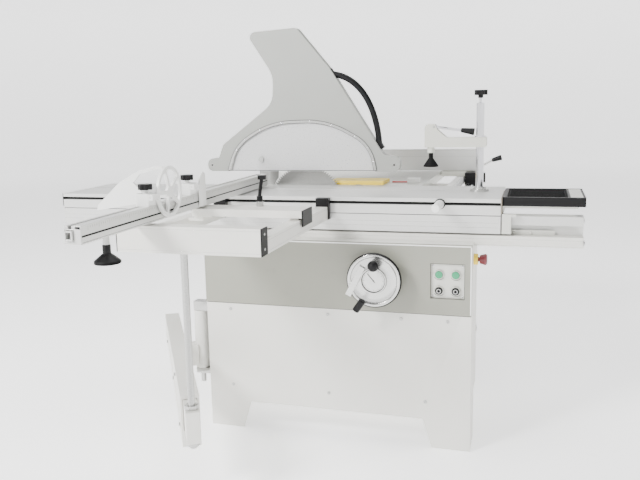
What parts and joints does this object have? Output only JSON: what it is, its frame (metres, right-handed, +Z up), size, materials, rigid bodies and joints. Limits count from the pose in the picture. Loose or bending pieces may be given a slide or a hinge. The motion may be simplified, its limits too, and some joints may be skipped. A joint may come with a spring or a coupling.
{
  "type": "sliding table panel saw",
  "caption": "Sliding-table panel saw: floor cabinet with tilting blade, extruded carriage with cross-cut table and fence, blade hood, hold-down clamp and rip fence.",
  "frame": {"origin": "middle of the whole machine's footprint, on the floor", "axes": "+Z up; +X towards the operator's end of the sliding carriage; -Y towards the sliding-table side, where the handwheel and buttons are"},
  "size_m": [1.972, 2.431, 1.5115],
  "materials": {
    "cream_paint": "textured powder coat, satin",
    "grey_paint": "smooth powder coat, satin",
    "hood_paint": "smooth paint, satin",
    "anodised": "bead blasted and anodised",
    "cast_table": "ground surface",
    "black_plastic": "moulded, fine grain",
    "black_rubber": "moulded",
    "steel": "turned or brushed",
    "chrome_steel": "polished",
    "yellow": "moulded",
    "green_button": "moulded",
    "black_button": "moulded",
    "dark_red": "moulded",
    "clear": "clear sheet",
    "belt": "ribbed",
    "aluminium_cast": "cast and polished"
  },
  "bodies": {
    "frame": {"cabinet_front": "cream_paint", "cabinet_body": "cream_paint", "fascia": "grey_paint", "control_plate": "steel", "stop_collar": "yellow", "cabinet_fittings": "black_plastic", "main_table": "cast_table", "table_brackets": "cream_paint", "scoring_cover": "yellow", "guide_rail": "cream_paint", "swing_hinge": "steel", "rip_rails": "chrome_steel"},
    "rear_door": {"rear_door": "cream_paint"},
    "start_main": {"start_button_main": "green_button"},
    "start_scoring": {"start_button_scoring": "green_button"},
    "stop_main": {"stop_button_main": "black_button"},
    "stop_scoring": {"stop_button_scoring": "black_button"},
    "emergency_stop": {"stop_mushroom": "dark_red"},
    "carriage": {"carriage": "anodised", "end_tray": "black_plastic", "tray_bracket": "steel"},
    "ball_cage": {"ball_cage": "steel"},
    "outrigger": {"outrigger_front_beam": "cream_paint", "outrigger_side_beams": "cream_paint", "outrigger_inner_beam": "cream_paint", "outrigger_fittings": "black_plastic"},
    "clamp_lever": {"clamp_lever": "black_plastic"},
    "crosscut_fence": {"crosscut_fence": "anodised", "fence_foot": "black_plastic"},
    "fence_extension": {"fence_extension": "anodised"},
    "stop_1": {"stop_block_1": "cream_paint", "flip_stop_round": "cream_paint"},
    "stop_2": {"stop_block_2": "cream_paint"},
    "flip_stop_2": {"flip_stop_small": "cream_paint"},
    "hold_down_base": {"hold_down_base": "steel"},
    "hold_down_post": {"hold_down_post": "steel"},
    "hold_down_knob": {"hold_down_knob": "black_plastic"},
    "hold_down_arm": {"hold_down_arm": "cream_paint"},
    "hold_down_lever": {"hold_down_lever": "steel"},
    "clamp_foot": {"clamp_foot": "black_rubber"},
    "swing_arm": {"swing_arm": "cream_paint"},
    "swing_tube": {"swing_tube": "cream_paint"},
    "support_post": {"support_post": "steel"},
    "tilt_cradle": {"tilt_cradle": "grey_paint"},
    "rise_carrier": {"rise_carrier": "grey_paint", "riving_knife": "steel"},
    "arbor": {"arbor": "steel", "saw_blade": "steel"},
    "motor_pulley": {"motor_pulley": "steel"},
    "scoring_arbor": {"scoring_blade": "steel"},
    "hood": {"hood_shell": "hood_paint", "hood_windows": "clear", "hood_fittings": "steel"},
    "handwheel": {"handwheel": "aluminium_cast"},
    "wheel_grip": {"wheel_grip": "black_plastic"},
    "dial_needle": {"dial_needle": "black_plastic"},
    "rip_carrier": {"rip_carrier": "black_plastic"},
    "rip_fence": {"rip_fence": "anodised"},
    "rip_lever": {"rip_lever": "black_plastic"},
    "rip_fine_knob": {"rip_fine_knob": "black_plastic"}
  },
  "joints": [
    {"name": "rear_door_hinge", "type": "hinge", "parent": "frame", "child": "rear_door", "pos_m": [-0.2065, 0.467, 0.415], "axis": [0, 0, 1], "range_deg": [0, 100]},
    {"name": "start_main_press", "type": "slide", "parent": "frame", "child": "start_main", "axis": [0, 1, 0], "range_m": [0, 0.004], "stiffness_N_per_m": 800},
    {"name": "start_scoring_press", "type": "slide", "parent": "frame", "child": "start_scoring", "axis": [0, 1, 0], "range_m": [0, 0.004], "stiffness_N_per_m": 800},
    {"name": "stop_main_press", "type": "slide", "parent": "frame", "child": "stop_main", "axis": [0, 1, 0], "range_m": [0, 0.004], "stiffness_N_per_m": 800},
    {"name": "stop_scoring_press", "type": "slide", "parent": "frame", "child": "stop_scoring", "axis": [0, 1, 0], "range_m": [0, 0.004], "stiffness_N_per_m": 800},
    {"name": "emergency_stop_press", "type": "slide", "parent": "frame", "child": "emergency_stop", "axis": [-1, 0, 0], "range_m": [0, 0.005], "stiffness_N_per_m": 1200},
    {"name": "carriage_slide", "type": "slide", "parent": "frame", "child": "carriage", "axis": [1, 0, 0], "range_m": [-0.62, 0.16]},
    {"name": "ball_cage_slide", "type": "slide", "parent": "frame", "child": "ball_cage", "axis": [1, 0, 0], "range_m": [-0.31, 0.08]},
    {"name": "outrigger_slide", "type": "slide", "parent": "carriage", "child": "outrigger", "axis": [1, 0, 0], "range_m": [-0.3, 0.25]},
    {"name": "clamp_lever_turn", "type": "hinge", "parent": "outrigger", "child": "clamp_lever", "pos_m": [-0.042, -0.4345, 0.89], "axis": [0, 0, 1], "range_deg": [-60, 60]},
    {"name": "fence_mitre", "type": "hinge", "parent": "outrigger", "child": "crosscut_fence", "pos_m": [-0.2385, -0.471, 0.88], "axis": [0, 0, 1], "range_deg": [0, 40]},
    {"name": "fence_extend", "type": "slide", "parent": "crosscut_fence", "child": "fence_extension", "axis": [0, -1, 0], "range_m": [0, 0.45]},
    {"name": "stop_1_slide", "type": "slide", "parent": "crosscut_fence", "child": "stop_1", "axis": [0, 1, 0], "range_m": [-0.25, 0.05]},
    {"name": "stop_2_slide", "type": "slide", "parent": "crosscut_fence", "child": "stop_2", "axis": [0, 1, 0], "range_m": [-0.03, 0.3]},
    {"name": "stop_2_flip", "type": "hinge", "parent": "stop_2", "child": "flip_stop_2", "pos_m": [-0.21, -0.5665, 0.962], "axis": [0, -1, 0], "range_deg": [0, 75]},
    {"name": "hold_down_slide", "type": "slide", "parent": "carriage", "child": "hold_down_base", "axis": [1, 0, 0], "range_m": [-0.25, 0.03]},
    {"name": "hold_down_swing", "type": "hinge", "parent": "hold_down_base", "child": "hold_down_post", "pos_m": [0.631, 0.0535, 0.89], "axis": [0, 0, 1], "range_deg": [-30, 60]},
    {"name": "hold_down_knob_turn", "type": "hinge", "parent": "hold_down_post", "child": "hold_down_knob", "pos_m": [0.631, 0.0535, 1.23], "axis": [0, 0, 1], "range_deg": [0, 720]},
    {"name": "hold_down_height", "type": "slide", "parent": "hold_down_post", "child": "hold_down_arm", "axis": [0, 0, 1], "range_m": [-0.08, 0.08]},
    {"name": "hold_down_lever_turn", "type": "hinge", "parent": "hold_down_arm", "child": "hold_down_lever", "pos_m": [0.467, 0.0535, 1.118], "axis": [0, -1, 0], "range_deg": [0, 80]},
    {"name": "clamp_foot_slide", "type": "slide", "parent": "hold_down_arm", "child": "clamp_foot", "axis": [0, 0, 1], "range_m": [0, 0.015]},
    {"name": "swing_arm_hinge", "type": "hinge", "parent": "frame", "child": "swing_arm", "pos_m": [-0.387, -0.1995, 0.33], "axis": [0, 0, 1], "range_deg": [-12, 8]},
    {"name": "swing_tube_slide", "type": "slide", "parent": "swing_arm", "child": "swing_tube", "axis": [0.5, -0.866, 0], "range_m": [-0.04, 0.4]},
    {"name": "support_post_turn", "type": "hinge", "parent": "swing_tube", "child": "support_post", "pos_m": [-0.15317, -0.7885, 0.3], "axis": [0, 0, 1], "range_deg": [-90, 90]},
    {"name": "tilt", "type": "hinge", "parent": "frame", "child": "tilt_cradle", "pos_m": [0.058, 0.2105, 0.883], "axis": [-1, 0, 0], "range_deg": [0, 45]},
    {"name": "rise", "type": "slide", "parent": "tilt_cradle", "child": "rise_carrier", "axis": [0, 0, 1], "range_m": [-0.038, 0]},
    {"name": "arbor_spin", "type": "hinge", "parent": "rise_carrier", "child": "arbor", "pos_m": [-0.076, 0.2235, 0.805], "axis": [0, 1, 0], "continuous": true},
    {"name": "motor_pulley_spin", "type": "hinge", "parent": "rise_carrier", "child": "motor_pulley", "pos_m": [0.128, 0.3035, 0.64], "axis": [0, 1, 0], "continuous": true},
    {"name": "scoring_spin", "type": "hinge", "parent": "tilt_cradle", "child": "scoring_arbor", "pos_m": [0.143, 0.2235, 0.826], "axis": [0, 1, 0], "continuous": true},
    {"name": "hood_pivot", "type": "hinge", "parent": "rise_carrier", "child": "hood", "pos_m": [-0.264, 0.2121, 0.99], "axis": [0, -1, 0], "range_deg": [0, 8]},
    {"name": "handwheel_turn", "type": "hinge", "parent": "frame", "child": "handwheel", "pos_m": [0.311, -0.2965, 0.615], "axis": [0, 1, 0], "range_deg": [0, 1800]},
    {"name": "wheel_grip_fold", "type": "hinge", "parent": "handwheel", "child": "wheel_grip", "pos_m": [0.273, -0.3165, 0.543], "axis": [0, 1, 0], "range_deg": [-120, 60]},
    {"name": "needle_turn", "type": "hinge", "parent": "frame", "child": "dial_needle", "pos_m": [0.311, -0.3085, 0.615], "axis": [0, 1, 0], "range_deg": [0, 270]},
    {"name": "rip_carrier_slide", "type": "slide", "parent": "frame", "child": "rip_carrier", "axis": [0, 1, 0], "range_m": [-0.18, 0.16]},
    {"name": "rip_fence_slide", "type": "slide", "parent": "rip_carrier", "child": "rip_fence", "axis": [1, 0, 0], "range_m": [-0.25, 0]},
    {"name": "rip_lever_turn", "type": "hinge", "parent": "rip_carrier", "child": "rip_lever", "pos_m": [0.58, 0.8865, 0.9], "axis": [1, 0, 0], "range_deg": [-60, 60]},
    {"name": "rip_fine_knob_turn", "type": "hinge", "parent": "rip_carrier", "child": "rip_fine_knob", "pos_m": [0.588, 0.8135, 0.856], "axis": [1, 0, 0], "range_deg": [0, 720]}
  ],
  "couplings": [
    {"joint": "ball_cage_slide", "follows": "carriage_slide", "ratio": 0.5},
    {"joint": "handwheel_turn", "follows": "tilt", "ratio": 40},
    {"joint": "motor_pulley_spin", "follows": "arbor_spin", "ratio": 1},
    {"joint": "clamp_foot_slide", "follows": "hold_down_lever_turn", "m_per_rad": 0.0095}
  ]
}
